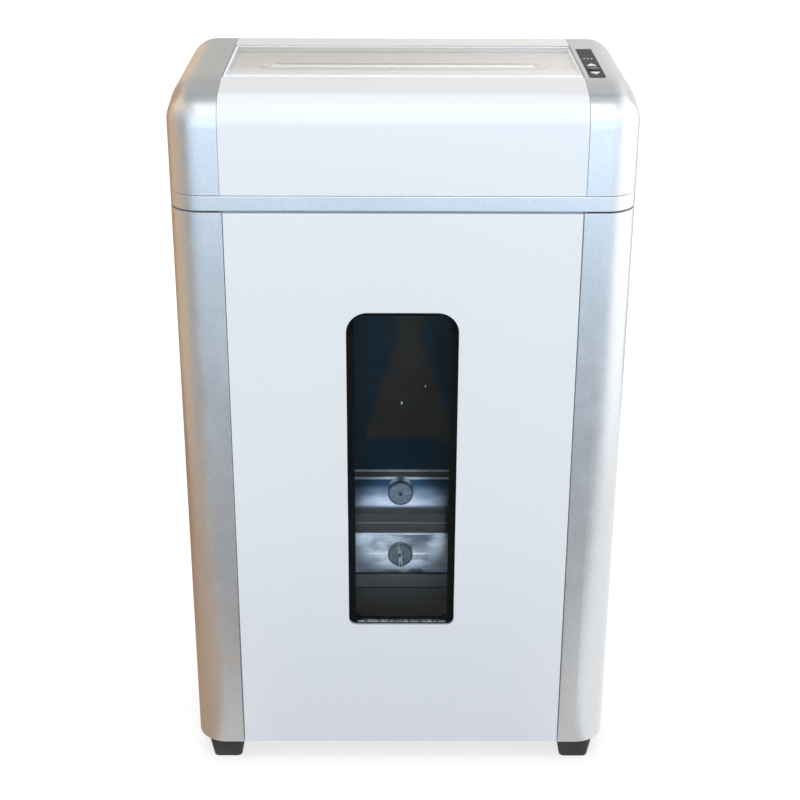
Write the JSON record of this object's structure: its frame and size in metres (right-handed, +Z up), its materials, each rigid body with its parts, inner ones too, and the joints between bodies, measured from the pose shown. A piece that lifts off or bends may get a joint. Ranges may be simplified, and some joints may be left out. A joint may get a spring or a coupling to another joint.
{
  "type": "paper shredder",
  "caption": "Upright office paper shredder with a rounded head, hinged clear feed flap, cross-cut rollers and a windowed pull-out waste bin.",
  "frame": {"origin": "centre of the footprint on the floor, under the feet", "axes": "+Z up, -Y towards the front with the bin window, +X to the user's right"},
  "size_m": [0.384, 0.256, 0.641],
  "materials": {
    "silver": "satin silver metallic paint on moulded plastic",
    "white": "smooth semi-gloss white moulding",
    "grey_panel": "fine textured light grey",
    "black_frame": "fine textured black",
    "bin_black": "glossy black moulding",
    "smoked_pane": "polished smoked clear plastic",
    "clear_flap": "polished clear plastic",
    "rubber": "matt black",
    "steel": "bright zinc sheet and ground bar",
    "zinc": "zinc plated",
    "cutter_steel": "oiled hardened steel",
    "rotor": "laminated core with windings",
    "bronze": "sintered bronze",
    "nylon": "natural nylon",
    "stripper": "black glass-filled nylon",
    "board": "green laminate",
    "components": "moulded component bodies",
    "key_white": "white keycap",
    "key_dark": "black keycap",
    "light_guide": "frosted clear acrylic"
  },
  "bodies": {
    "cabinet": {"base_tray": "black_frame", "bin_switch": "components", "board_standoffs": "zinc", "collar": "silver", "control_board": "board", "control_board_parts": "components", "control_board_screws": "zinc", "control_strip": "black_frame", "feed_throat": "black_frame", "feet": "rubber", "flap_pins": "steel", "foot_screws": "zinc", "front_stripper": "stripper", "guide_rails": "black_frame", "head_chassis": "black_frame", "head_screws": "zinc", "idler_pin": "steel", "idler_spacers": "nylon", "left_end_cap": "silver", "left_side_plate": "steel", "left_side_shell": "silver", "light_pipe": "light_guide", "mains_inlet": "black_frame", "mechanism_screws": "zinc", "motor_case": "steel", "paper_sensors": "components", "power_board": "board", "power_board_parts": "components", "power_switch": "black_frame", "rear_panel": "grey_panel", "rear_panel_screws": "zinc", "rear_stripper": "stripper", "right_end_cap": "silver", "right_side_plate": "steel", "right_side_shell": "silver", "shaft_bushes": "bronze", "tie_rod_nuts": "zinc", "tie_rods": "steel", "top_cover": "white", "top_frame": "black_frame"},
    "bin": {"bin_front": "white", "window_pane": "smoked_pane", "window_bezel": "black_frame", "waste_bin": "bin_black", "bin_screws": "zinc", "bin_runners": "bin_black"},
    "flap": {"feed_flap": "clear_flap"},
    "forward_key": {"forward_button": "key_white"},
    "stop_key": {"stop_button": "key_dark"},
    "reverse_key": {"reverse_button": "key_white"},
    "rocker": {"power_rocker": "key_dark"},
    "rotor": {"motor_rotor": "rotor", "motor_pinion": "cutter_steel", "motor_fan": "nylon"},
    "reduction": {"reduction_gear": "nylon"},
    "rear_roller": {"rear_cutter": "cutter_steel", "rear_sync_gear": "cutter_steel", "drive_gear": "nylon"},
    "front_roller": {"front_cutter": "cutter_steel", "front_sync_gear": "cutter_steel"}
  },
  "joints": [
    {"name": "bin_slide", "type": "slide", "parent": "cabinet", "child": "bin", "axis": [0, -1, 0], "range_m": [0, 0.24]},
    {"name": "flap_hinge", "type": "hinge", "parent": "cabinet", "child": "flap", "pos_m": [0, 0.0477, 0.6371], "axis": [-1, 0, 0], "range_deg": [0, 105]},
    {"name": "forward_press", "type": "slide", "parent": "cabinet", "child": "forward_key", "axis": [0, 0, -1], "range_m": [0, 0.001], "stiffness_N_per_m": 400, "springref_m": -0.0008},
    {"name": "stop_press", "type": "slide", "parent": "cabinet", "child": "stop_key", "axis": [0, 0, -1], "range_m": [0, 0.001], "stiffness_N_per_m": 400, "springref_m": -0.0008},
    {"name": "reverse_press", "type": "slide", "parent": "cabinet", "child": "reverse_key", "axis": [0, 0, -1], "range_m": [0, 0.001], "stiffness_N_per_m": 400, "springref_m": -0.0008},
    {"name": "rocker_tilt", "type": "hinge", "parent": "cabinet", "child": "rocker", "pos_m": [0.05, 0.1215, 0.578], "axis": [-1, 0, 0], "range_deg": [0, 16]},
    {"name": "motor_spin", "type": "hinge", "parent": "cabinet", "child": "rotor", "pos_m": [-0.08, 0.07073, 0.592], "axis": [1, 0, 0], "continuous": true},
    {"name": "reduction_spin", "type": "hinge", "parent": "cabinet", "child": "reduction", "pos_m": [-0.14, 0.03798, 0.59599], "axis": [1, 0, 0], "continuous": true},
    {"name": "rear_cutter_spin", "type": "hinge", "parent": "cabinet", "child": "rear_roller", "pos_m": [0, 0.004, 0.59], "axis": [1, 0, 0], "continuous": true},
    {"name": "front_cutter_spin", "type": "hinge", "parent": "cabinet", "child": "front_roller", "pos_m": [0, -0.03, 0.59], "axis": [1, 0, 0], "continuous": true}
  ],
  "couplings": [
    {"joint": "reduction_spin", "follows": "motor_spin", "ratio": -0.22222},
    {"joint": "rear_cutter_spin", "follows": "motor_spin", "ratio": 0.078431},
    {"joint": "front_cutter_spin", "follows": "motor_spin", "ratio": -0.078431}
  ]
}
